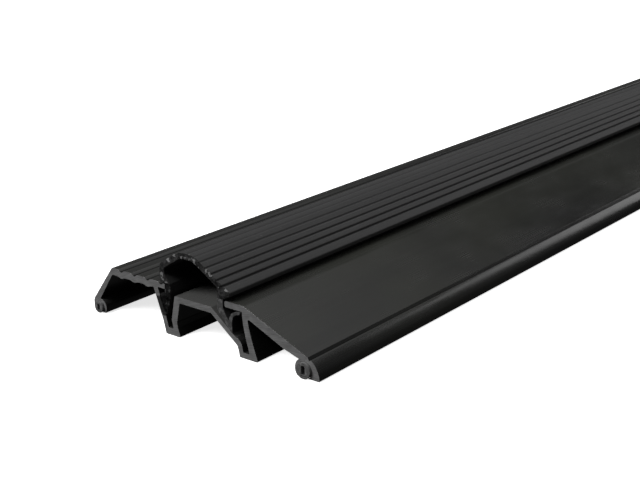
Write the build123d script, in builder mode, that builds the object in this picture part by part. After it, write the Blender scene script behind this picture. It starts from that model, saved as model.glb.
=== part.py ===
from build123d import *
from math import cos, pi, radians, tan
import os

# Exterior door threshold with a replaceable dome seal.
#
# One aluminium extrusion carries a soft vinyl dome, which presses against the bottom of a
# closed door, and a soft tubular gasket under each long edge, which seals to the floor.
#
# X runs across the sill, from the ribbed deck (-X) to the smooth ramp (+X).
# Y runs along the sill, in the direction of every groove.
# Z is up, and Z = 0 is the floor. All lengths are in millimetres.

os.makedirs("parts", exist_ok=True)

# ---- driving dimensions -------------------------------------------------------------

SILL_LENGTH = 914.4  # 36 in
OVERALL_WIDTH = 95.25  # 3-3/4 in
CROWN_HEIGHT = 29.3  # the free dome, above the floor
DECK_TOP = 17.1  # both flat decks beside the dome

INSERT_OVERHANG = 0.5  # the dome insert stands out of each cut end
GASKET_OVERHANG = 0.9  # so do the edge gaskets

EDGE = OVERALL_WIDTH / 2  # half width, to the outer edges
FOOT_GAP = 0.2  # the two outer edges clear the floor by this

# ribbed deck
FLUTE_PITCH = 6.0
FLUTE_DEPTH = 0.85
FIRST_VALLEY = -34.0
DECK_THICKNESS = 2.45
UNDER_DEPTH = 0.5
DECK_OUTER_X = -38.3
RIBBED_LIP_X = -14.1  # end of the ribbed deck, beside the dome
POINTS_PER_FLUTE = 14

# smooth ramp
SMOOTH_LIP_X = 11.0  # end of the smooth deck, beside the dome
LIP_UNDER_Z = DECK_TOP - 2.0  # underside of both deck ends
RAMP_START = (18.6, DECK_TOP)
RAMP_END = (43.25, 6.94)
CREASE = (43.75, 6.0)  # bottom of the crease between the ramp and its nose
NOSE_START = (44.45, 6.28)
RAMP_THICKNESS = 2.8

# screw web between the two insert channels
WEB_TOP = 13.7
WEB_THICKNESS = 2.0
SCREW_X = -1.5
SCREW_SPACING = 254.0
SCREW_COUNT = 4
SCREW_HOLE_R = 2.25
SCREW_HEAD_R = 3.3
SCREW_HEAD_ANGLE = 82

# edge gaskets, tubes that sit on the floor
CUP_CLEARANCE = 0.08
CUP_WALL = 0.95
RIBBED_GASKET_R = 1.9
RIBBED_GASKET_X = -EDGE + CUP_WALL + CUP_CLEARANCE + RIBBED_GASKET_R
SMOOTH_GASKET_R = 2.65
SMOOTH_GASKET_X = 42.1

# dome insert
DOME_APEX_X = -4.3
DOME_CROWN_R = 10.0
RIBBED_PITCH = 33.7  # degrees, slope of the dome towards the ribbed deck
SMOOTH_PITCH = 31.5  # degrees, slope of the dome towards the ramp
DOME_SKIN = 2.1
DOME_RIBBED_X = -16.0  # upright side
DOME_SMOOTH_X = 13.1  # tip of the apron over the smooth deck
DOME_SHOULDER_R = 2.6
HOLD_DOWN_Z = DECK_TOP + 0.3  # the dome flexes above this height
CROWN_SPLIT_Z = 24.4  # the crown above this height moves as one
GROOVE_R = 0.83
GROOVE_RISE = 0.38  # a groove's centre stands this far off the skin, so grooves are shallow
GROOVE_PITCH = 2.7
FIRST_GROOVE = 3.95  # from the apron tip, along the skin
GROOVE_COUNT = 10

# a rounded corner's crown lies below the corner by this share of its radius
CROWN_DROP = 1 / cos(radians((RIBBED_PITCH + SMOOTH_PITCH) / 2)) - 1
DOME_APEX_Z = CROWN_HEIGHT + DOME_CROWN_R * CROWN_DROP


def ribbed_slope_z(x):
    """Height of the dome's slope on the ribbed side, before its crown is rounded."""
    return DOME_APEX_Z - (DOME_APEX_X - x) * tan(radians(RIBBED_PITCH))


def smooth_slope_z(x):
    """Height of the dome's slope on the ramp side, before its crown is rounded."""
    return DOME_APEX_Z - (x - DOME_APEX_X) * tan(radians(SMOOTH_PITCH))


def wave_z(x, depth, narrowness):
    """The ribbed deck's wave: broad crests, and valleys made narrower by a larger power."""
    swing = 0.5 + 0.5 * cos(2 * pi * (x - FIRST_VALLEY) / FLUTE_PITCH)
    return DECK_TOP - depth * swing**narrowness


def flute_z(x):
    """Top of the ribbed deck."""
    return wave_z(x, FLUTE_DEPTH, 4)


def under_z(x):
    """Underside of the ribbed deck, which waves more gently."""
    return wave_z(x, UNDER_DEPTH, 2) - DECK_THICKNESS


def wave_points(x_from, x_to, height):
    """Points along a wave of the ribbed deck, where height(x) is its height."""
    count = round(abs(x_to - x_from) / FLUTE_PITCH * POINTS_PER_FLUTE)
    xs = [x_from + (x_to - x_from) * i / count for i in range(count + 1)]
    return [(x, height(x)) for x in xs]


def corners(sketch, *places):
    """The corners of a section that lie nearest to the places given."""
    return [sketch.vertices().sort_by_distance(Vector(x, z, 0))[0] for x, z in places]


# ---- aluminium extrusion ------------------------------------------------------------

with BuildPart() as sill_extrusion:
    with BuildSketch(Plane.XZ) as section:
        # ribbed deck, a sheet that follows the flutes
        with BuildLine():
            crest_line = Spline(*wave_points(DECK_OUTER_X, RIBBED_LIP_X, flute_z))
            under_line = Spline(*wave_points(-18.4, DECK_OUTER_X, under_z))
            Polyline(crest_line @ 1, (RIBBED_LIP_X, LIP_UNDER_Z), (-17.6, LIP_UNDER_Z), under_line @ 0)
            Line(under_line @ 1, crest_line @ 0)
        make_face()
        # outer wall down to the floor gasket on the ribbed side
        Polygon(
            (DECK_OUTER_X, flute_z(DECK_OUTER_X)),
            (-47.3, 4.6),
            (-EDGE, 3.7),
            (-EDGE, RIBBED_GASKET_R),
            (RIBBED_GASKET_X, RIBBED_GASKET_R),
            (RIBBED_GASKET_X, 4.8),
            (DECK_OUTER_X, 14.5),
            (DECK_OUTER_X + 1, 16.0),
            align=None,
        )
        # channel for the insert's leg on the ribbed side: outer wall, floor and inner wall
        Polygon(
            (-19.45, 15.2),
            (-15.7, 5.2),
            (-14.95, 2.5),
            (-14.3, 0),
            (-10, 0),
            (-10, 2.4),
            (-13.1, 2.4),
            (-13.7, 4.3),
            (-14.2, 6.2),
            (-17.5, 15.2),
            align=None,
        )
        Polygon(
            (-13.0, 0),
            (-7.9, 0),
            (-9.1, 3.0),
            (-9.4, 5.0),
            (-8.75, 8.0),
            (-8.05, WEB_TOP - WEB_THICKNESS),
            (-8.05, WEB_TOP),
            (-10.1, WEB_TOP),
            (-11.0, 9.0),
            (-11.7, 5.3),
            (-10.95, 2.4),
            (-13.0, 2.4),
            align=None,
        )
        # screw web, then the ramped wall down to the other channel with its hooked ledge
        Polygon(
            (-9.0, WEB_TOP),
            (5.4, WEB_TOP),
            (15.3, 6.2),
            (16.1, 6.1),
            (17.0, 5.4),
            (17.75, 4.3),
            (18.3, 1.9),
            (20, 1.9),
            (20, 0),
            (16.9, 0),
            (16.3, 2.5),
            (15.9, 3.6),
            (14.6, 4.65),
            (5.3, WEB_TOP - WEB_THICKNESS),
            (-9.0, WEB_TOP - WEB_THICKNESS),
            align=None,
        )
        # floor and outer wall of the channel on the ramp side
        Polygon(
            (18, 0),
            (24.2, 0),
            (22.0, 6.0),
            (20.8, 10.0),
            (20.0, 13.6),
            (20.0, 15.6),
            (18.0, 15.6),
            (18.05, 14.0),
            (18.4, 11.0),
            (19.3, 7.0),
            (20.85, 1.9),
            (18, 1.9),
            align=None,
        )
        # smooth deck, ramp and rounded nose
        ramp_drop = RAMP_THICKNESS / cos(radians(22.4))
        with BuildLine():
            Polyline(
                (SMOOTH_LIP_X, LIP_UNDER_Z),
                (SMOOTH_LIP_X, DECK_TOP),
                RAMP_START,
                RAMP_END,
                CREASE,
                NOSE_START,
            )
            nose = ThreePointArc(NOSE_START, (46.6, 4.0), (EDGE, 1.0))
            Polyline(
                nose @ 1,
                (EDGE, FOOT_GAP),
                (SMOOTH_GASKET_X + 2, FOOT_GAP),
                (SMOOTH_GASKET_X, 5.0),
                (38.6, 6.0),
                (34.3, 7.3),
                (20.3, RAMP_START[1] - ramp_drop - 0.7),
                (19.0, LIP_UNDER_Z),
                (SMOOTH_LIP_X, LIP_UNDER_Z),
            )
        make_face()
        # cups that hold the floor gaskets, open below
        with Locations((RIBBED_GASKET_X, RIBBED_GASKET_R)):
            Circle(RIBBED_GASKET_R + CUP_CLEARANCE + CUP_WALL)
            Circle(RIBBED_GASKET_R + CUP_CLEARANCE, mode=Mode.SUBTRACT)
        with Locations((SMOOTH_GASKET_X, SMOOTH_GASKET_R)):
            Circle(SMOOTH_GASKET_R + CUP_CLEARANCE + CUP_WALL)
            Circle(SMOOTH_GASKET_R + CUP_CLEARANCE, mode=Mode.SUBTRACT)
        with Locations((-EDGE + 3, FOOT_GAP - 2), (EDGE - 5, FOOT_GAP - 2)):
            Rectangle(14, 4, mode=Mode.SUBTRACT)
        # rounded corners: deck edges, deck ends, ramp bend and channel feet
        fillet(corners(section, (DECK_OUTER_X, flute_z(DECK_OUTER_X))), 0.9)
        fillet(corners(section, RAMP_START), 5.0)
        fillet(corners(section, (SMOOTH_LIP_X, DECK_TOP), (RIBBED_LIP_X, flute_z(RIBBED_LIP_X))), 0.6)
        fillet(corners(section, (SMOOTH_LIP_X, LIP_UNDER_Z), (RIBBED_LIP_X, LIP_UNDER_Z)), 0.5)
        fillet(corners(section, (EDGE, FOOT_GAP)), 0.3)
        fillet(corners(section, (-14.3, 0), (-7.9, 0), (16.9, 0), (24.2, 0)), 0.5)
        fillet(corners(section, (-13.1, 2.4), (-10.95, 2.4), (18.3, 1.9), (20.85, 1.9)), 0.4)
        fillet(corners(section, (-8.05, 11.7), (-10.1, WEB_TOP), (16.1, 6.1)), 0.4)
    extrude(amount=SILL_LENGTH / 2, both=True)
    # screw holes in a row along the web, countersunk
    with Locations(Location((SCREW_X, 0, WEB_TOP))):
        with GridLocations(1, SCREW_SPACING, 1, SCREW_COUNT):
            CounterSinkHole(
                radius=SCREW_HOLE_R,
                counter_sink_radius=SCREW_HEAD_R,
                depth=2 * WEB_THICKNESS,
                counter_sink_angle=SCREW_HEAD_ANGLE,
            )

# ---- dome insert --------------------------------------------------------------------

INSERT_HALF = SILL_LENGTH / 2 + INSERT_OVERHANG

# section of the soft dome down to the height where the lips of the decks hold it
with BuildSketch(Plane.XZ) as dome_section:
    with BuildLine():
        skin = FilletPolyline(
            (DOME_SMOOTH_X, smooth_slope_z(DOME_SMOOTH_X)),
            (DOME_APEX_X, DOME_APEX_Z),
            (DOME_RIBBED_X, ribbed_slope_z(DOME_RIBBED_X)),
            (DOME_RIBBED_X, HOLD_DOWN_Z),
            radius=[DOME_CROWN_R, DOME_SHOULDER_R],
        )
        Polyline(skin @ 1, (10.75, HOLD_DOWN_Z), (DOME_SMOOTH_X - 0.3, HOLD_DOWN_Z + 1.4), skin @ 0)
    make_face()
    apron_tip = (DOME_SMOOTH_X, smooth_slope_z(DOME_SMOOTH_X))
    fillet(corners(dome_section, apron_tip, (DOME_SMOOTH_X - 0.3, HOLD_DOWN_Z + 1.4)), 0.6)
    fillet(corners(dome_section, (DOME_RIBBED_X, HOLD_DOWN_Z)), 0.8)
    # the hollow, one skin thickness inside the slopes, narrows to the screw web below
    skin_drop = DOME_SKIN / cos(radians(SMOOTH_PITCH))
    inner_x = DOME_RIBBED_X + DOME_SKIN
    with BuildSketch(mode=Mode.PRIVATE) as hollow:
        Polygon(
            (-11.7, HOLD_DOWN_Z),
            (8.35, HOLD_DOWN_Z),
            (8.35, smooth_slope_z(8.35) - skin_drop),
            (DOME_APEX_X, DOME_APEX_Z - skin_drop),
            (inner_x, ribbed_slope_z(inner_x) - skin_drop),
            (inner_x, 20.2),
            align=None,
        )
        fillet(corners(hollow, (DOME_APEX_X, DOME_APEX_Z - skin_drop)), DOME_CROWN_R - DOME_SKIN)
        fillet(corners(hollow, (inner_x, ribbed_slope_z(inner_x) - skin_drop)), 1.2)
    add(hollow.sketch, mode=Mode.SUBTRACT)
    # fine grooves along the outside
    groove_centres = []
    for i in range(GROOVE_COUNT):
        run = FIRST_GROOVE + i * GROOVE_PITCH
        along = skin.tangent_at(run, PositionMode.LENGTH)
        outward = Vector(along.Y, -along.X, 0)
        groove_centres.append(skin.position_at(run, PositionMode.LENGTH) + outward * GROOVE_RISE)
    with Locations(groove_centres):
        Circle(GROOVE_R, mode=Mode.SUBTRACT)

with BuildPart() as dome_crown:
    with BuildSketch(Plane.XZ):
        add(dome_section.sketch_local)
        with Locations((0, CROWN_SPLIT_Z)):
            Rectangle(60, 20, align=(Align.CENTER, Align.MIN), mode=Mode.INTERSECT)
    extrude(amount=INSERT_HALF, both=True)

with BuildPart() as dome_wall_ribbed_side:
    with BuildSketch(Plane.XZ):
        add(dome_section.sketch_local)
        with Locations((DOME_APEX_X, CROWN_SPLIT_Z)):
            Rectangle(40, 20, align=(Align.MAX, Align.MAX), mode=Mode.INTERSECT)
    extrude(amount=INSERT_HALF, both=True)

with BuildPart() as dome_wall_smooth_side:
    with BuildSketch(Plane.XZ):
        add(dome_section.sketch_local)
        with Locations((DOME_APEX_X, CROWN_SPLIT_Z)):
            Rectangle(40, 20, align=(Align.MIN, Align.MAX), mode=Mode.INTERSECT)
    extrude(amount=INSERT_HALF, both=True)

# stiff legs, each a stem with a springy barb that hooks under a deck
with BuildPart() as barb_leg_ribbed_side:
    with BuildSketch(Plane.XZ) as leg:
        Polygon(
            (-13.85, HOLD_DOWN_Z),
            (-11.7, HOLD_DOWN_Z),
            (-11.0, 15.4),
            (-11.5, 12.5),
            (-12.3, 9.5),
            (-13.2, 6.8),
            (-14.1, 7.2),
            (-16.3, 12.5),
            (-16.0, 13.4),
            (-15.2, 12.6),
            (-13.8, 9.6),
            (-13.4, 12.5),
            (-13.85, 15.0),
            align=None,
        )
        fillet(corners(leg, (-13.2, 6.8), (-14.1, 7.2), (-16.3, 12.5), (-11.0, 15.4)), 0.25)
    extrude(amount=INSERT_HALF, both=True)

with BuildPart() as barb_leg_smooth_side:
    with BuildSketch(Plane.XZ) as leg:
        Polygon(
            (8.35, HOLD_DOWN_Z),
            (10.75, HOLD_DOWN_Z),
            (10.75, 14.9),
            (11.6, 13.2),
            (12.95, 11.0),
            (13.3, 12.4),
            (14.2, 13.75),
            (15.4, 14.5),
            (17.5, 14.85),
            (17.55, 14.1),
            (15.8, 13.6),
            (14.9, 12.8),
            (14.35, 11.4),
            (14.45, 7.4),
            (13.9, 7.55),
            (8.35, 13.98),
            align=None,
        )
        fillet(corners(leg, (17.5, 14.85), (17.55, 14.1), (13.9, 7.55)), 0.25)
    extrude(amount=INSERT_HALF, both=True)

# ---- floor gaskets ------------------------------------------------------------------

GASKET_HALF = SILL_LENGTH / 2 + GASKET_OVERHANG

with BuildPart() as edge_gasket_ribbed_side:
    with BuildSketch(Plane.XZ):
        with Locations((RIBBED_GASKET_X, RIBBED_GASKET_R)):
            Circle(RIBBED_GASKET_R)
            SlotOverall(1.15 * RIBBED_GASKET_R, 0.5 * RIBBED_GASKET_R, rotation=90, mode=Mode.SUBTRACT)
    extrude(amount=GASKET_HALF, both=True)

with BuildPart() as edge_gasket_smooth_side:
    with BuildSketch(Plane.XZ):
        with Locations((SMOOTH_GASKET_X, SMOOTH_GASKET_R)):
            Circle(SMOOTH_GASKET_R)
            SlotOverall(1.15 * SMOOTH_GASKET_R, 0.5 * SMOOTH_GASKET_R, rotation=90, mode=Mode.SUBTRACT)
    extrude(amount=GASKET_HALF, both=True)

# ---- one STEP file for each piece ---------------------------------------------------

pieces = {
    "sill_extrusion": sill_extrusion,
    "dome_crown": dome_crown,
    "dome_wall_ribbed_side": dome_wall_ribbed_side,
    "dome_wall_smooth_side": dome_wall_smooth_side,
    "barb_leg_ribbed_side": barb_leg_ribbed_side,
    "barb_leg_smooth_side": barb_leg_smooth_side,
    "edge_gasket_ribbed_side": edge_gasket_ribbed_side,
    "edge_gasket_smooth_side": edge_gasket_smooth_side,
}

for name, piece in pieces.items():
    piece.part.label = name
    export_step(piece.part, f"parts/{name}.step")
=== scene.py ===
from bisect import bisect_right
from math import atan2, ceil, cos, degrees, exp, pi, radians, sin, sqrt, tan

import bmesh
import bpy
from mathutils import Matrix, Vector
from mathutils.geometry import tessellate_polygon
from mathutils.noise import noise


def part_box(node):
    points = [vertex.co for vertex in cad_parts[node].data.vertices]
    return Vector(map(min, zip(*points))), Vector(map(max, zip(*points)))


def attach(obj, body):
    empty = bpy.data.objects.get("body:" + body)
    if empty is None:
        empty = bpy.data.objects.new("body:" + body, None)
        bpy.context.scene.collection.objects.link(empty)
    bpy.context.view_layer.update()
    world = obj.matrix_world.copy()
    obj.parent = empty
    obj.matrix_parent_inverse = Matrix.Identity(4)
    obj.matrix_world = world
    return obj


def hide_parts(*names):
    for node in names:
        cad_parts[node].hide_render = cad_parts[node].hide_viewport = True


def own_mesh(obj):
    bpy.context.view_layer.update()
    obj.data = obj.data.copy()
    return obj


# A door threshold: one black aluminium extrusion, a soft dome insert on two barbed legs,
# and a tubular floor gasket under each long edge. X runs across the sill and Y along it.
# Sections are written in millimetres, as (x, z), and every mesh is made in metres.

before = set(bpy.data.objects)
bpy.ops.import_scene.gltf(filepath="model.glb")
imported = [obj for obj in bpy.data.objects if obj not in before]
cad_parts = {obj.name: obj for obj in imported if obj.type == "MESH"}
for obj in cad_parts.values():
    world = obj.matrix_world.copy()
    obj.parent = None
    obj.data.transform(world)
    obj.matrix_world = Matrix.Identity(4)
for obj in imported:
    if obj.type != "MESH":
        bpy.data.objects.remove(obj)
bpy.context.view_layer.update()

MM = 0.001


def half_length(node):
    """Half the length of a CAD piece along Y, in millimetres."""
    return round(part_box(node)[1].y / MM, 2)


# ---- sizes that the sections share ---------------------------------------------------

SILL_HALF = half_length("sill_extrusion")
INSERT_HALF = half_length("dome_crown")
GASKET_HALF = half_length("edge_gasket_smooth_side")

EDGE = 47.625
DECK_TOP = 17.1
LIP_UNDER_Z = 15.1
WEB_TOP = 13.7
WEB_UNDER_Z = 11.7
FLUTE_PITCH = 6.0
FLUTE_DEPTH = 0.85
FIRST_VALLEY = -34.0
DECK_THICKNESS = 2.45
UNDER_DEPTH = 0.5

# the floor gaskets, and the cups that hold them with a little clearance
RIBBED_GASKET_R = 1.9
SMOOTH_GASKET_R = 2.65
RIBBED_CUP = (-44.695, RIBBED_GASKET_R)
SMOOTH_CUP = (42.1, SMOOTH_GASKET_R)
RIBBED_CUP_R = RIBBED_GASKET_R + 0.08
SMOOTH_CUP_R = SMOOTH_GASKET_R + 0.08
CUP_WALL = 0.95
FOOT_GAP = 0.2

# the dome, which flexes above the lips that hold it down
HOLD_DOWN_Z = 17.4
DOME_APEX = (-4.3, 31.175)
DOME_SKIN = 2.1
APRON_TIP_X = 13.7
RIBBED_SLOPE = tan(radians(33.7))
SMOOTH_SLOPE = tan(radians(31.5))
DOME_SIDE_X = -16.0
HOLLOW_LEFT = -13.9
HOLLOW_RIGHT = 8.35
FIRST_GROOVE = 3.6
GROOVE_PITCH = 2.7
GROOVE_COUNT = 10
GROOVE_DEPTH = 0.46
GROOVE_HALF_WIDTH = 0.38
RIB_ROUNDING = 0.14

# the row of countersunk screw holes in the web
SCREW_X = -1.5
SCREW_SPACING = 254.0
SCREW_COUNT = 4
SCREW_HOLE_R = 2.25
SCREW_HEAD_R = 3.3
SCREW_HEAD_SLOPE = tan(radians(82 / 2))


# ---- sections ------------------------------------------------------------------------


def arc(centre, radius, start, stop, step=7.0):
    """Points on an arc of a section, between two angles in degrees."""
    count = max(2, ceil(abs(stop - start) / step))
    angles = [radians(start + (stop - start) * i / count) for i in range(count + 1)]
    return [(centre[0] + radius * cos(a), centre[1] + radius * sin(a)) for a in angles]


def rounded(corners, step=9.0):
    """A closed outline through corners (x, z), where (x, z, radius) rounds the corner."""
    outline = []
    for i, corner in enumerate(corners):
        here = Vector(corner[:2])
        if len(corner) == 2:
            outline.append(here)
            continue
        back = Vector(corners[i - 1][:2]) - here
        ahead = Vector(corners[(i + 1) % len(corners)][:2]) - here
        half = back.angle(ahead) / 2
        run = min(corner[2] / tan(half), 0.48 * back.length, 0.48 * ahead.length)
        radius = run * tan(half)
        centre = here + (back.normalized() + ahead.normalized()).normalized() * radius / sin(half)
        spoke = here + back.normalized() * run - centre
        turn = (pi - 2 * half) * (1 if back.cross(ahead) < 0 else -1)
        count = max(2, ceil(abs(turn) / radians(step)))
        for k in range(count + 1):
            a = turn * k / count
            outline.append(
                centre + Vector((spoke.x * cos(a) - spoke.y * sin(a), spoke.x * sin(a) + spoke.y * cos(a)))
            )
    return outline


def flutes(x_from, x_to, depth, narrowness, drop=0.0, step=0.3):
    """Points along the wave of the ribbed deck: broad crests with narrower valleys."""
    count = ceil(abs(x_to - x_from) / step)
    points = []
    for i in range(count + 1):
        x = x_from + (x_to - x_from) * i / count
        swing = 0.5 + 0.5 * cos(2 * pi * (x - FIRST_VALLEY) / FLUTE_PITCH)
        points.append((x, DECK_TOP - depth * swing**narrowness - drop))
    return points


def cup_angle(radius, height):
    """How far below the level a cup's circle meets the floor gap, in degrees."""
    drop = height - FOOT_GAP
    return degrees(atan2(drop, sqrt(radius**2 - drop**2)))


def sill_section():
    """The aluminium extrusion, once round its outline."""
    smooth_in = cup_angle(SMOOTH_CUP_R, SMOOTH_CUP[1])
    smooth_out = cup_angle(SMOOTH_CUP_R + CUP_WALL, SMOOTH_CUP[1])
    ribbed_in = cup_angle(RIBBED_CUP_R, RIBBED_CUP[1])
    ribbed_out = cup_angle(RIBBED_CUP_R + CUP_WALL, RIBBED_CUP[1])
    return rounded(
        [
            # channel foot on the ribbed side, its inner wall, and the underside of the screw web
            (-15.7, 5.2, 1.0), (-14.95, 2.5), (-14.3, 0, 0.5), (-7.9, 0, 0.5), (-9.1, 3.0, 1.2),
            (-9.4, 5.0, 1.5), (-8.75, 8.0, 2.0), (-8.05, WEB_UNDER_Z, 0.4), (5.3, WEB_UNDER_Z, 0.6),
            # the sloped wall, and the channel foot on the ramp side
            (14.6, 4.65, 1.2), (15.9, 3.6, 0.8), (16.3, 2.5, 0.8), (16.9, 0, 0.5), (24.2, 0, 0.5),
            (22.0, 6.0, 2.0), (20.8, 10.0, 2.0), (20.05, 13.45, 0.5),
            # underside of the ramp, and the cup for the gasket
            (34.3, 7.3, 3.0), (38.6, 6.0, 1.2),
            *arc(SMOOTH_CUP, SMOOTH_CUP_R + CUP_WALL, 126.0, 180 + smooth_out),
            *arc(SMOOTH_CUP, SMOOTH_CUP_R, 180 + smooth_in, -smooth_in),
            # rounded nose, the crease above it, and the ramp
            (EDGE, FOOT_GAP, 0.3),
            *arc((40.22, 0.15), 7.45, 6.6, 54.5, step=3.0),
            (44.35, 6.3, 0.1), (43.78, 5.9, 0.2), (43.25, 6.94, 0.1), (18.6, DECK_TOP, 5.0),
            # smooth deck down to the channel, and up the sloped wall to the screw web
            (11.0, DECK_TOP, 0.6), (11.0, LIP_UNDER_Z, 0.5), (18.02, LIP_UNDER_Z, 0.3), (18.05, 14.0),
            (18.4, 11.0, 3.0),
            (19.3, 7.0, 3.0), (20.85, 1.9, 0.4), (18.3, 1.9, 0.4), (17.75, 4.3, 0.8), (17.0, 5.4, 0.6),
            (16.1, 6.1, 0.4), (15.3, 6.2, 0.3), (5.4, WEB_TOP, 0.9), (-10.1, WEB_TOP, 0.4),
            # inside of the channel on the ribbed side
            (-11.0, 9.0, 3.0), (-11.7, 5.3, 1.0), (-10.95, 2.4, 0.4), (-13.1, 2.4, 0.4), (-13.7, 4.3, 1.0),
            (-14.2, 6.2, 1.0), (-17.46, LIP_UNDER_Z, 0.3), (-14.1, LIP_UNDER_Z, 0.5),
            # ribbed deck, and the outer wall down to its cup
            *arc((-14.7, 16.16), 0.6, 0, 110, step=12.0),
            *flutes(-14.97, -37.89, FLUTE_DEPTH, 4),
            *arc((-37.77, 16.18), 0.9, 90, 144, step=9.0),
            (-47.3, 4.6, 1.2), (-EDGE, 3.7, 0.8), (-EDGE, RIBBED_GASKET_R),
            *arc(RIBBED_CUP, RIBBED_CUP_R + CUP_WALL, 180 + 6, 180 + ribbed_out),
            *arc(RIBBED_CUP, RIBBED_CUP_R, 180 + ribbed_in, -ribbed_in),
            *arc(RIBBED_CUP, RIBBED_CUP_R + CUP_WALL, -ribbed_out, 86),
            # underside of the ribbed deck
            (-38.3, 14.5, 0.5),
            *flutes(-37.9, -19.6, UNDER_DEPTH, 2, drop=DECK_THICKNESS),
            (-19.26, 14.7, 0.4),
        ]
    )


def dome_slope(x):
    """Height of the dome's two slopes, before its crown is rounded."""
    fall = RIBBED_SLOPE if x < DOME_APEX[0] else SMOOTH_SLOPE
    return DOME_APEX[1] - abs(x - DOME_APEX[0]) * fall


def ribbed(skin):
    """The outside of the dome with rounded ribs and narrow grooves, by length along the skin.

    The grooves are deepest beside the apron's tip, and fade towards and past the crown.
    """
    runs = [0.0]
    for a, b in zip(skin, skin[1:]):
        runs.append(runs[-1] + (b - a).length)
    half = GROOVE_PITCH / 2
    shares = {FIRST_GROOVE + i * GROOVE_PITCH: max(0.22, 1 - 0.16 * i) for i in range(GROOVE_COUNT)}
    stops = set(r for r in runs if all(abs(r - c) > 1.02 * half for c in shares))
    for c in shares:
        for away in (0, 0.16, 0.27, 0.36, 0.44, 0.55, 0.78, 1.05):
            stops.update((c - away, c + away))
        stops.add(c + half)
    points = []
    for stop in sorted(stops):
        k = min(max(bisect_right(runs, stop) - 1, 0), len(runs) - 2)
        along = (skin[k + 1] - skin[k]).normalized()
        place = skin[k] + along * (stop - runs[k])
        away, share = min((abs(stop - c), share) for c, share in shares.items())
        groove = GROOVE_DEPTH * exp(-((away / GROOVE_HALF_WIDTH) ** 4))
        rib = RIB_ROUNDING * max(0.0, 1 - away / half) ** 2
        points.append(place + Vector((-along.y, along.x)) * (share * (groove + rib)))
    return points


def dome_section():
    """The soft dome's skin, with its ribbed outside and smooth inside."""
    skin_drop = DOME_SKIN * sqrt(1 + SMOOTH_SLOPE**2)
    tip = (APRON_TIP_X, dome_slope(APRON_TIP_X))
    whole = rounded(
        [
            (*tip, 0.6),
            (*DOME_APEX, 10.0),
            (DOME_SIDE_X, dome_slope(DOME_SIDE_X), 2.6),
            (DOME_SIDE_X, HOLD_DOWN_Z, 0.8),
            (-11.7, HOLD_DOWN_Z),
            (HOLLOW_LEFT, 20.2, 0.6),
            (HOLLOW_LEFT, dome_slope(HOLLOW_LEFT) - skin_drop, 1.2),
            (DOME_APEX[0], DOME_APEX[1] - skin_drop, 7.9),
            (HOLLOW_RIGHT, dome_slope(HOLLOW_RIGHT) - skin_drop, 0.5),
            (HOLLOW_RIGHT, HOLD_DOWN_Z),
            (10.75, HOLD_DOWN_Z),
            (APRON_TIP_X - 0.3, HOLD_DOWN_Z + 1.4, 0.6),
        ],
        step=5.0,
    )
    skin_end = Vector((DOME_SIDE_X, HOLD_DOWN_Z + 0.8))
    lowest = min(range(len(whole)), key=lambda i: (whole[i] - skin_end).length)
    return ribbed(whole[: lowest + 1]) + whole[lowest + 1 :]


def ribbed_leg_section():
    """The stiff leg that hooks under the ribbed deck."""
    return rounded(
        [
            (-13.85, HOLD_DOWN_Z), (-13.85, 15.0, 0.8), (-13.4, 12.5, 1.0), (-13.8, 9.6, 0.2),
            (-15.2, 12.6, 0.8), (-16.0, 13.4, 0.12), (-16.3, 12.5, 0.25), (-14.1, 7.2, 0.25),
            (-13.2, 6.8, 0.25), (-12.3, 9.5, 3.0), (-11.5, 12.5, 3.0), (-11.0, 15.4, 0.25),
            (-11.7, HOLD_DOWN_Z),
        ]
    )


def smooth_leg_section():
    """The stiff leg on the ramp side, with the springy flap that hooks under the deck."""
    return rounded(
        [
            (HOLLOW_RIGHT, HOLD_DOWN_Z), (HOLLOW_RIGHT, 13.98, 0.5), (13.9, 7.55, 0.2), (14.45, 7.4, 0.15),
            (14.35, 11.4, 1.2), (14.9, 12.8, 0.9), (15.8, 13.6, 0.9), (17.55, 14.1, 0.25),
            (17.5, 14.85, 0.25), (15.4, 14.5, 1.5), (14.2, 13.75, 1.2), (13.3, 12.4, 1.0),
            (12.95, 11.0, 0.15), (11.6, 13.2, 2.0), (10.75, 14.9, 1.2), (10.75, HOLD_DOWN_Z),
        ]
    )


def gasket_section(centre, radius):
    """The round outside of a floor gasket."""
    return [Vector(p) for p in arc(centre, radius, -90, 270, step=6.0)[:-1]]


def gasket_hollow(centre, radius):
    """The upright slot inside a gasket, with as many points as its outside."""
    reach = 0.25 * radius
    lift = 0.575 * radius - reach
    points = []
    for x, z in arc((0, 0), 1, -90, 270, step=6.0)[:-1]:
        end = lift if z > 0 else -lift
        points.append(Vector((centre[0] + reach * x, centre[1] + reach * z + end)))
    return points


# ---- extruded meshes -----------------------------------------------------------------


def turned_in(outline, amount):
    """The outline moved inwards, for the small chamfer round a cut end."""
    moved = []
    for i, here in enumerate(outline):
        a = (here - outline[i - 1]).normalized()
        b = (outline[(i + 1) % len(outline)] - here).normalized()
        inward = Vector((-a.y - b.y, a.x + b.x))
        inward.normalize()
        reach = amount / max(0.5, inward.dot(Vector((-a.y, a.x))))
        moved.append(here + inward * reach)
    return moved


def anticlockwise(outline):
    """The outline with its inside on the left of its path."""
    area = sum(a.cross(b) for a, b in zip(outline, outline[1:] + outline[:1]))
    return outline if area > 0 else outline[::-1]


def sharpness(outline):
    """0 on flats, up to 1 on outward corners and down to -1 in grooves and inward corners."""
    count = len(outline)
    turns = []
    for i, here in enumerate(outline):
        a = here - outline[i - 1]
        b = outline[(i + 1) % count] - here
        turns.append(atan2(a.cross(b), a.dot(b)) / max(0.15, (a.length + b.length) / 2))
    return [min(1.0, max(-1.0, t * 0.45)) for t in turns]


FINE_CHAMFER = 0.05
SIDES, ENDS, SHELTERED = 0, 1, 2


def still(x, y, z):
    return (0, 0, 0)


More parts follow.
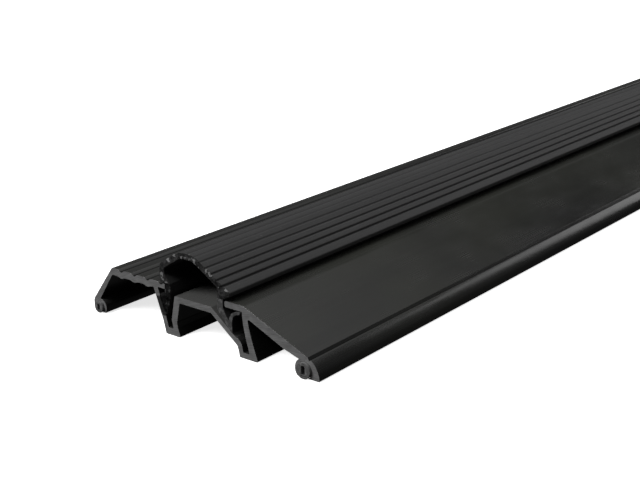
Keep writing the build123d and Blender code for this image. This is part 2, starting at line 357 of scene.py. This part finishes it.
def extrusion(
    name,
    outline,
    half,
    materials,
    stations=(),
    chamfer=0.12,
    hollow=None,
    shift=still,
    sheltered=None,
):
    """A mesh of the section drawn out along Y by half each way, with a chamfer round both cut ends.

    The materials are for the sides, for the cut ends, and for sides between sheltered points.
    shift(x, y, z) gives a small move in millimetres, for soft strips that aren't quite true.
    A very fine chamfer keeps the look of the sides, as bare metal there would glint.
    """
    outline = anticlockwise(outline)
    loops = [outline] if hollow is None else [outline, hollow]
    reach = half - chamfer
    plain = [(y, 0.0) for y in (-reach, *stations, reach)]
    rings = [(-half, chamfer), *plain, (half, chamfer)]
    chamfer_look = ENDS if chamfer > FINE_CHAMFER else SIDES
    bm = bmesh.new()
    edge_layer = bm.verts.layers.float.new("edge")
    grid = []
    for number, loop in enumerate(loops):
        edges = sharpness(loop) if number == 0 else [0.0] * len(loop)
        columns = []
        for y, inset in rings:
            ring = turned_in(loop, inset if number == 0 else -inset) if inset else loop
            row = []
            # each point holds its edge value, used by the materials for wear on outward corners and for
            # painted shade in grooves and inward corners
            for p, worn in zip(ring, edges):
                move = shift(p.x, y, p.y)
                vert = bm.verts.new(((p.x + move[0]) * MM, (y + move[1]) * MM, (p.y + move[2]) * MM))
                vert[edge_layer] = worn
                row.append(vert)
            columns.append(row)
        grid.append(columns)
        last = len(rings) - 2
        for j in range(last + 1):
            for i in range(len(loop)):
                k = (i + 1) % len(loop)
                quad = (columns[j][i], columns[j + 1][i], columns[j + 1][k], columns[j][k])
                face = bm.faces.new(quad if number == 0 else quad[::-1])
                if j in (0, last):
                    face.material_index = chamfer_look
                if face.material_index == SIDES and sheltered and sheltered(loop[i]) and sheltered(loop[k]):
                    face.material_index = SHELTERED
    flat = [[Vector((p.x, p.y, 0)) for p in loop] for loop in loops]
    triangles = [t for t in tessellate_polygon(flat) if len(set(t)) == 3]
    places = [p for loop in loops for p in loop]
    for row, facing in ((0, 1), (-1, -1)):
        verts = [vert for columns in grid for vert in columns[row]]
        for a, b, c in triangles:
            turn = (places[b] - places[a]).cross(places[c] - places[b])
            face = bm.faces.new([verts[n] for n in ((a, b, c) if turn * facing > 0 else (a, c, b))])
            face.material_index = ENDS
    mesh = bpy.data.meshes.new(name)
    bm.to_mesh(mesh)
    bm.free()
    for material in materials:
        mesh.materials.append(material)
    piece = bpy.data.objects.new(name, mesh)
    bpy.context.scene.collection.objects.link(piece)
    return piece


def shade(piece, sharp=32):
    """Smooth shading, with hard edges where the surface turns sharply."""
    piece.data.shade_smooth()
    piece.data.set_sharp_from_angle(angle=radians(sharp))


def screw_cutter():
    """Countersunk holes down through the web, as one cutter."""
    steps = 40
    angles = [2 * pi * i / steps for i in range(steps)]
    above = 0.14
    profile = [
        (SCREW_HEAD_R + above * SCREW_HEAD_SLOPE, WEB_TOP + above),
        (SCREW_HOLE_R, WEB_TOP - (SCREW_HEAD_R - SCREW_HOLE_R) / SCREW_HEAD_SLOPE),
        (SCREW_HOLE_R, WEB_UNDER_Z - 1.2),
    ]
    bm = bmesh.new()
    for n in range(SCREW_COUNT):
        y = (n - (SCREW_COUNT - 1) / 2) * SCREW_SPACING
        rings = []
        for radius, z in profile:
            places = [(SCREW_X + radius * cos(a), y + radius * sin(a), z) for a in angles]
            rings.append([bm.verts.new([c * MM for c in place]) for place in places])
        for upper, lower in zip(rings, rings[1:]):
            for i in range(steps):
                k = (i + 1) % steps
                bm.faces.new((upper[i], upper[k], lower[k], lower[i]))
        bm.faces.new(rings[0])
        bm.faces.new(rings[-1][::-1])
    bmesh.ops.recalc_face_normals(bm, faces=bm.faces)
    mesh = bpy.data.meshes.new("screw_cutter")
    bm.to_mesh(mesh)
    bm.free()
    cutter = bpy.data.objects.new("screw_cutter", mesh)
    bpy.context.scene.collection.objects.link(cutter)
    return cutter


def cut(piece, cutter):
    """Takes the cutter out of the piece, and removes the cutter."""
    tool = piece.modifiers.new("cut", "BOOLEAN")
    tool.operation = "DIFFERENCE"
    tool.solver = "EXACT"
    tool.object = cutter
    graph = bpy.context.evaluated_depsgraph_get()
    solid = piece.evaluated_get(graph)
    mesh = bpy.data.meshes.new_from_object(solid, preserve_all_data_layers=True, depsgraph=graph)
    piece.modifiers.clear()
    piece.data = mesh
    bpy.data.objects.remove(cutter)


# ---- materials -----------------------------------------------------------------------


class Finish:
    """A material with one Principled shader, and short calls to build what feeds it."""

    def __init__(self, name, **values):
        self.material = bpy.data.materials.new(name)
        self.material.use_nodes = True
        self.nodes = self.material.node_tree.nodes
        self.links = self.material.node_tree.links
        self.shader = self.nodes["Principled BSDF"]
        self.place = self.nodes.new("ShaderNodeTexCoord").outputs["Object"]
        for socket, value in values.items():
            self.shader.inputs[socket.replace("_", " ")].default_value = value

    def feed(self, socket, value):
        """Links a node's output to the socket, or sets the socket to a plain value."""
        if isinstance(value, bpy.types.NodeSocket):
            self.links.new(value, socket)
        else:
            socket.default_value = value

    def noise(self, scale, detail=3.0, roughness=0.55):
        """Noise from 0 to 1, where scale is its grain in features per millimetre along X, Y and Z."""
        mapping = self.nodes.new("ShaderNodeMapping")
        self.feed(mapping.inputs["Vector"], self.place)
        mapping.inputs["Scale"].default_value = [s / MM for s in scale]
        texture = self.nodes.new("ShaderNodeTexNoise")
        self.feed(texture.inputs["Vector"], mapping.outputs["Vector"])
        texture.inputs["Scale"].default_value = 1.0
        texture.inputs["Detail"].default_value = detail
        texture.inputs["Roughness"].default_value = roughness
        return texture.outputs["Fac"]

    def ramp(self, value, low, high, to_low=0.0, to_high=1.0):
        """value from low to high becomes to_low to to_high, and stays between them."""
        node = self.nodes.new("ShaderNodeMapRange")
        node.interpolation_type = "SMOOTHSTEP"
        limits = {"From Min": low, "From Max": high, "To Min": to_low, "To Max": to_high}
        for socket, number in limits.items():
            node.inputs[socket].default_value = number
        self.feed(node.inputs["Value"], value)
        return node.outputs["Result"]

    def math(self, operation, a, b):
        node = self.nodes.new("ShaderNodeMath")
        node.operation = operation
        self.feed(node.inputs[0], a)
        self.feed(node.inputs[1], b)
        return node.outputs[0]

    def mix(self, share, a, b):
        """Colour a where share is 0, and b where it is 1."""
        node = self.nodes.new("ShaderNodeMix")
        node.data_type = "RGBA"
        self.feed(node.inputs["Factor"], share)
        for socket, colour in ((node.inputs[6], a), (node.inputs[7], b)):
            self.feed(socket, colour if isinstance(colour, bpy.types.NodeSocket) else (*colour, 1.0))
        return node.outputs[2]

    def attribute(self, name):
        """A number that the mesh holds at its points."""
        node = self.nodes.new("ShaderNodeAttribute")
        node.attribute_name = name
        return node.outputs["Fac"]

    def bump(self, height, depth):
        """Bump whose full height is depth, in millimetres, on top of the bump made before it."""
        node = self.nodes.new("ShaderNodeBump")
        node.inputs["Distance"].default_value = depth * MM
        self.feed(node.inputs["Height"], height)
        if self.shader.inputs["Normal"].is_linked:
            self.feed(node.inputs["Normal"], self.shader.inputs["Normal"].links[0].from_socket)
        self.feed(self.shader.inputs["Normal"], node.outputs["Normal"])

    def colour(self, value):
        self.feed(self.shader.inputs["Base Color"], value)

    def roughness(self, value):
        self.feed(self.shader.inputs["Roughness"], value)


def anodised(name, painted_light=0.0):
    """Satin black anodising: die lines along the sill, handling marks, wear, and a paler colour that is
    painted light.

    Grooves and inward corners get painted shade, darker in colour and with a weaker reflection, and outward
    corners are worn.
    """
    f = Finish(name, Metallic=0.0, IOR=1.5)
    edge = f.attribute("edge")
    die_lines = f.noise((2.2, 0.003, 2.2), detail=4.0, roughness=0.7)
    fine_lines = f.noise((9.0, 0.012, 9.0), detail=2.0)
    clouds = f.noise((0.012, 0.006, 0.02), detail=3.0)
    handling = f.noise((0.09, 0.04, 0.09), detail=2.0)
    grain = f.noise((6.0, 6.0, 6.0), detail=2.0)
    base = f.mix(f.ramp(die_lines, 0.3, 0.7), (0.014, 0.0143, 0.014), (0.02, 0.0203, 0.0196))
    base = f.mix(f.ramp(clouds, 0.42, 0.68, 0.0, 0.8), base, (0.028, 0.029, 0.0245))
    # painted shade: grooves and inward corners are darkened towards near black
    base = f.mix(f.ramp(edge, -0.35, -0.02, 0.75, 0.0), base, (0.004, 0.004, 0.004))
    nicks = f.noise((0.8, 0.18, 0.8), detail=4.0, roughness=0.7)
    worn = f.math("MULTIPLY", f.ramp(edge, 0.25, 0.9), f.ramp(nicks, 0.56, 0.72, 0.0, 0.5))
    base = f.mix(worn, base, (0.07, 0.07, 0.069))
    # painted light: painted_light mixes in a paler colour, used on the web top under the dome
    f.colour(f.mix(painted_light, base, (0.12, 0.12, 0.117)))
    # painted shade: the reflection is weakened in grooves and inward corners
    f.feed(f.shader.inputs["Specular IOR Level"], f.ramp(edge, -0.35, -0.02, 0.04, 0.5))
    handled = f.ramp(handling, 0.3, 0.7, 0.17, 0.26)
    drawn = f.ramp(fine_lines, 0.3, 0.7, -0.02, 0.03)
    f.roughness(f.math("ADD", handled, drawn))
    f.bump(die_lines, 0.003)
    f.bump(fine_lines, 0.0008)
    f.bump(grain, 0.001)
    return f.material


def cut_aluminium():
    """Bare metal at the cut ends, with the arcs that a saw blade leaves.

    The cut end of the thin channel wall beside the ribbed side's barb is near black in ragged patches, with
    no metal shine there.
    """
    saw_axle = (50 * MM, 0.0, -140 * MM)
    arcs_per_metre = 3500.0
    f = Finish("cut_aluminium")
    blade = f.nodes.new("ShaderNodeVectorMath")
    blade.operation = "DISTANCE"
    blade.inputs[1].default_value = saw_axle
    flat = f.nodes.new("ShaderNodeVectorMath")
    flat.operation = "MULTIPLY"
    flat.inputs[1].default_value = (1.0, 0.0, 1.0)
    f.feed(flat.inputs[0], f.place)
    f.feed(blade.inputs[0], flat.outputs["Vector"])
    arcs = f.nodes.new("ShaderNodeTexNoise")
    arcs.noise_dimensions = "1D"
    arcs.inputs["Scale"].default_value = 1.0
    arcs.inputs["Detail"].default_value = 4.0
    f.feed(arcs.inputs["W"], f.math("MULTIPLY", blade.outputs["Value"], arcs_per_metre))
    marks = arcs.outputs["Fac"]
    smear = f.noise((0.5, 0.5, 0.9), detail=4.0)
    base = f.mix(f.ramp(marks, 0.3, 0.7), (0.34, 0.34, 0.34), (0.48, 0.48, 0.481))
    base = f.mix(f.ramp(smear, 0.35, 0.7, 0.0, 0.5), base, (0.28, 0.28, 0.281))
    split = f.nodes.new("ShaderNodeSeparateXYZ")
    f.feed(split.inputs["Vector"], f.place)
    across, height = split.outputs["X"], split.outputs["Z"]
    # a near-black patch on the cut end of the thin channel wall beside the ribbed side's barb, with no
    # metal shine
    dark_wall_end = f.ramp(across, -19.5 * MM, -18.5 * MM)
    for limit in (
        f.ramp(across, -14.1 * MM, -13.6 * MM, 1.0, 0.0),
        f.ramp(height, 5.4 * MM, 6.2 * MM),
        f.ramp(height, 11.8 * MM, 13.2 * MM, 1.0, 0.0),
    ):
        dark_wall_end = f.math("MULTIPLY", dark_wall_end, limit)
    torn = f.noise((1.1, 1.1, 1.1), detail=4.0, roughness=0.7)
    dark_wall_end_share = f.math("MULTIPLY", dark_wall_end, f.ramp(torn, 0.62, 0.78, 0.97, 0.7))
    base = f.mix(dark_wall_end_share, base, (0.012, 0.012, 0.012))
    f.colour(base)
    f.roughness(f.ramp(smear, 0.3, 0.7, 0.42, 0.6))
    bare_share = f.math("SUBTRACT", 1.0, dark_wall_end)
    f.feed(f.shader.inputs["Metallic"], f.math("MULTIPLY", bare_share, 0.85))
    f.feed(f.shader.inputs["Specular IOR Level"], f.math("MULTIPLY", bare_share, 0.5))
    f.bump(marks, 0.03)
    f.bump(smear, 0.02)
    return f.material


def vinyl(name, low, high, rough=(0.52, 0.68)):
    """Extruded vinyl: matt, with faint lines along it, a fine grain, a little bloom and dust, and painted
    shade in its grooves.
    """
    f = Finish(name, IOR=1.48, Specular_IOR_Level=0.4, Sheen_Weight=0.08, Sheen_Roughness=0.5)
    lines = f.noise((1.6, 0.004, 1.6), detail=4.0, roughness=0.65)
    bloom = f.noise((0.05, 0.012, 0.05), detail=4.0, roughness=0.6)
    grain = f.noise((7.0, 7.0, 7.0), detail=3.0)
    specks = f.noise((1.3, 1.3, 1.3), detail=2.0)
    base = f.mix(f.ramp(lines, 0.3, 0.7), (low, low, low * 1.03), (high, high, high * 1.02))
    base = f.mix(f.ramp(bloom, 0.45, 0.75, 0.0, 0.55), base, (high * 1.5, high * 1.5, high * 1.5))
    dust = f.math("MULTIPLY", f.ramp(specks, 0.7, 0.78), 0.5)
    base = f.mix(dust, base, (0.11, 0.11, 0.108))
    # painted shade: grooves and inward corners are darkened towards near black
    base = f.mix(f.ramp(f.attribute("edge"), -0.5, -0.12, 0.25, 0.0), base, (0.004, 0.004, 0.004))
    f.colour(base)
    f.roughness(f.ramp(bloom, 0.3, 0.7, *rough))
    f.bump(lines, 0.03)
    f.bump(grain, 0.012)
    return f.material


def cut_vinyl(name, low, high, crumbs, gloss=0.15):
    """The cut end of a vinyl strip: torn a little by the saw, with crumbs paler than the rest."""
    f = Finish(name, IOR=1.48, Specular_IOR_Level=gloss)
    tear = f.noise((1.1, 1.1, 1.1), detail=5.0, roughness=0.7)
    loose = f.noise((0.62, 0.62, 0.62), detail=2.0)
    base = f.mix(f.ramp(tear, 0.35, 0.65), (low, low, low), (high, high, high))
    base = f.mix(f.ramp(loose, 0.56, 0.64, 0.0, 0.9), base, (crumbs, crumbs, crumbs))
    f.colour(base)
    f.roughness(f.ramp(tear, 0.3, 0.7, 0.5, 0.75))
    f.bump(tear, 0.2)
    return f.material


# ---- pieces --------------------------------------------------------------------------


def along(half, spacing):
    """Stations between the ends, about spacing apart."""
    count = int(2 * half / spacing)
    return [-half + 2 * half * i / count for i in range(1, count)]


def vinyl_sway(x, y, z):
    """The soft dome is never quite straight, and its cut ends are a little ragged."""
    lift = max(0.0, z - HOLD_DOWN_Z) / 12.0
    side = 0.10 * noise(Vector((0.0, y / 70.0, 3.0))) + 0.05 * noise(Vector((x / 9.0, y / 22.0, 8.0)))
    sink = 0.12 * abs(noise(Vector((x / 12.0, y / 60.0, 1.0))))
    torn = 0.0
    if abs(y) > INSERT_HALF - 0.3:
        torn = 0.22 * abs(noise(Vector((x * 0.9, z * 0.9, 5.0)))) * (-1 if y > 0 else 1)
    return (side * lift, torn, -sink * lift)


def in_the_dome(p):
    """Whether a point of the dome's section is on its inside."""
    return -14.2 < p.x < 8.6 and p.y < dome_slope(p.x) - 1.3


def under_the_dome(p):
    """Whether a point of the sill's section is on top of the screw web or of its slope."""
    web_slope_z = 17.8 - 0.758 * p.x
    return -10.2 < p.x < 15.4 and p.y > 6.1 and abs(p.y - min(WEB_TOP, web_slope_z)) < 0.25


black = anodised("anodised_aluminium")
# painted light: the web top under the dome is painted paler
black_painted_light_under_dome = anodised("anodised_under_dome_painted_light", painted_light=0.45)
bare = cut_aluminium()
soft = vinyl("soft_vinyl", 0.011, 0.017)
# painted shade: a darker copy of the dome's vinyl for the inside of the dome
soft_inside_painted_shade = vinyl("soft_vinyl_inside_painted_shade", 0.004, 0.007, rough=(0.7, 0.8))
stiff = vinyl("stiff_vinyl", 0.006, 0.011, rough=(0.5, 0.62))
grey = vinyl("gasket_vinyl", 0.06, 0.085, rough=(0.5, 0.65))
soft_end = cut_vinyl("soft_vinyl_end", 0.006, 0.035, crumbs=0.17, gloss=0.05)
# the ribbed leg's cut end is much darker than the smooth leg's cut end
ribbed_leg_end = cut_vinyl("ribbed_leg_end", 0.001, 0.012, crumbs=0.05, gloss=0.02)
smooth_leg_end = cut_vinyl("smooth_leg_end", 0.04, 0.07, crumbs=0.1)
grey_end = cut_vinyl("gasket_vinyl_end", 0.07, 0.11, crumbs=0.15)

sill = extrusion(
    "sill_extruded",
    sill_section(),
    SILL_HALF,
    (black, bare, black_painted_light_under_dome),
    chamfer=0.02,
    sheltered=under_the_dome,
)
cut(sill, screw_cutter())
shade(sill)
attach(sill, "sill")
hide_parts("sill_extrusion")

dome = extrusion(
    "dome_strip",
    dome_section(),
    INSERT_HALF,
    (soft, soft_end, soft_inside_painted_shade),
    along(INSERT_HALF, 11.0),
    shift=vinyl_sway,
    sheltered=in_the_dome,
)
shade(dome, 38)
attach(dome, "dome_insert")
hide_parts("dome_crown", "dome_wall_ribbed_side", "dome_wall_smooth_side")

for name, node, section, end in (
    ("barbed_leg_ribbed", "barb_leg_ribbed_side", ribbed_leg_section(), ribbed_leg_end),
    ("barbed_leg_smooth", "barb_leg_smooth_side", smooth_leg_section(), smooth_leg_end),
):
    leg = extrusion(name, section, INSERT_HALF, (stiff, end), chamfer=0.06)
    shade(leg)
    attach(leg, "dome_insert")
    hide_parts(node)

for name, node, body, centre, radius in (
    ("floor_gasket_ribbed", "edge_gasket_ribbed_side", "ribbed_side_gasket", RIBBED_CUP, RIBBED_GASKET_R),
    ("floor_gasket_smooth", "edge_gasket_smooth_side", "smooth_side_gasket", SMOOTH_CUP, SMOOTH_GASKET_R),
):
    gasket = extrusion(
        name,
        gasket_section(centre, radius),
        GASKET_HALF,
        (grey, grey_end),
        hollow=gasket_hollow(centre, radius),
    )
    shade(gasket)
    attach(gasket, body)
    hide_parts(node)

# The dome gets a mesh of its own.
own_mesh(dome)

# ---- studio --------------------------------------------------------------------------


def studio_floor():
    """White paper that only the camera sees, so that it throws no light up at the sill."""
    mesh = bpy.data.meshes.new("studio_floor")
    reach = 15.0
    corners = [(-reach, -reach, 0), (reach, -reach, 0), (reach, reach, 0), (-reach, reach, 0)]
    mesh.from_pydata(corners, [], [(0, 1, 2, 3)])
    floor = bpy.data.objects.new("studio_floor", mesh)
    bpy.context.scene.collection.objects.link(floor)
    f = Finish("floor_paper", Roughness=0.9)
    f.colour((0.9, 0.9, 0.9, 1.0))
    f.shader.inputs["Emission Color"].default_value = (1, 1, 1, 1)
    f.shader.inputs["Emission Strength"].default_value = 0.75
    f.shader.inputs["Specular IOR Level"].default_value = 0.0
    mesh.materials.append(f.material)
    floor.visible_glossy = False
    floor.visible_diffuse = False


def studio_sky():
    """White light from above and a pale horizon, with the room's dark wall between them."""
    world = bpy.data.worlds.new("studio_sky")
    bpy.context.scene.world = world
    world.use_nodes = True
    nodes, links = world.node_tree.nodes, world.node_tree.links
    place = nodes.new("ShaderNodeTexCoord")
    split = nodes.new("ShaderNodeSeparateXYZ")
    links.new(place.outputs["Generated"], split.inputs["Vector"])
    height = nodes.new("ShaderNodeValToRGB")
    stops = height.color_ramp.elements
    stops[0].position, stops[0].color = 0.0, (0.03, 0.03, 0.03, 1)
    stops[1].position, stops[1].color = 0.72, (0.55, 0.55, 0.55, 1)
    for rise, glow in ((0.1, 0.08), (0.38, 0.08), (0.46, 0.01), (0.56, 0.01)):
        stops.new(rise).color = (glow, glow, glow, 1)
    links.new(split.outputs["Z"], height.inputs["Fac"])
    path = nodes.new("ShaderNodeLightPath")
    seen = nodes.new("ShaderNodeMix")
    links.new(path.outputs["Is Camera Ray"], seen.inputs["Factor"])
    links.new(height.outputs["Color"], seen.inputs["A"])
    seen.inputs["B"].default_value = 1.0
    links.new(seen.outputs["Result"], nodes["Background"].inputs["Strength"])
    nodes["Background"].inputs["Color"].default_value = (1, 1, 1, 1)


def soft_box(name, place, aim, size, power):
    """A rectangular lamp that faces aim, sized in metres."""
    light = bpy.data.lights.new(name, "AREA")
    light.shape = "RECTANGLE"
    light.size, light.size_y = size
    light.energy = power
    lamp = bpy.data.objects.new(name, light)
    bpy.context.scene.collection.objects.link(lamp)
    lamp.location = place
    lamp.rotation_euler = (Vector(aim) - Vector(place)).to_track_quat("-Z", "Y").to_euler()
    lamp.visible_camera = False


def camera():
    """Looks down on the near cut end and along the sill, from the ramp side."""
    bearing, pitch = radians(37.84), radians(18.282)
    ahead = Vector((-sin(bearing) * cos(pitch), cos(bearing) * cos(pitch), -sin(pitch)))
    data = bpy.data.cameras.new("camera")
    data.lens = 71.85
    eye = bpy.data.objects.new("camera", data)
    bpy.context.scene.collection.objects.link(eye)
    eye.location = (0.256546, -0.72588, 0.15639)
    eye.rotation_euler = ahead.to_track_quat("-Z", "Y").to_euler()
    bpy.context.scene.camera = eye


studio_floor()
studio_sky()
soft_box("softbox_end", (-0.7, -1.7, 1.5), (0, -0.4, 0), (1.0, 0.8), 50)
soft_box("softbox_back", (0.68, 2.25, 1.05), (0.04, -0.2, 0), (1.15, 1.1), 6)
soft_box("softbox_overhead", (-0.5, 0.2, 2.2), (0, 0, 0), (2.0, 2.4), 5)
camera()
bpy.context.scene.view_settings.view_transform = "Standard"
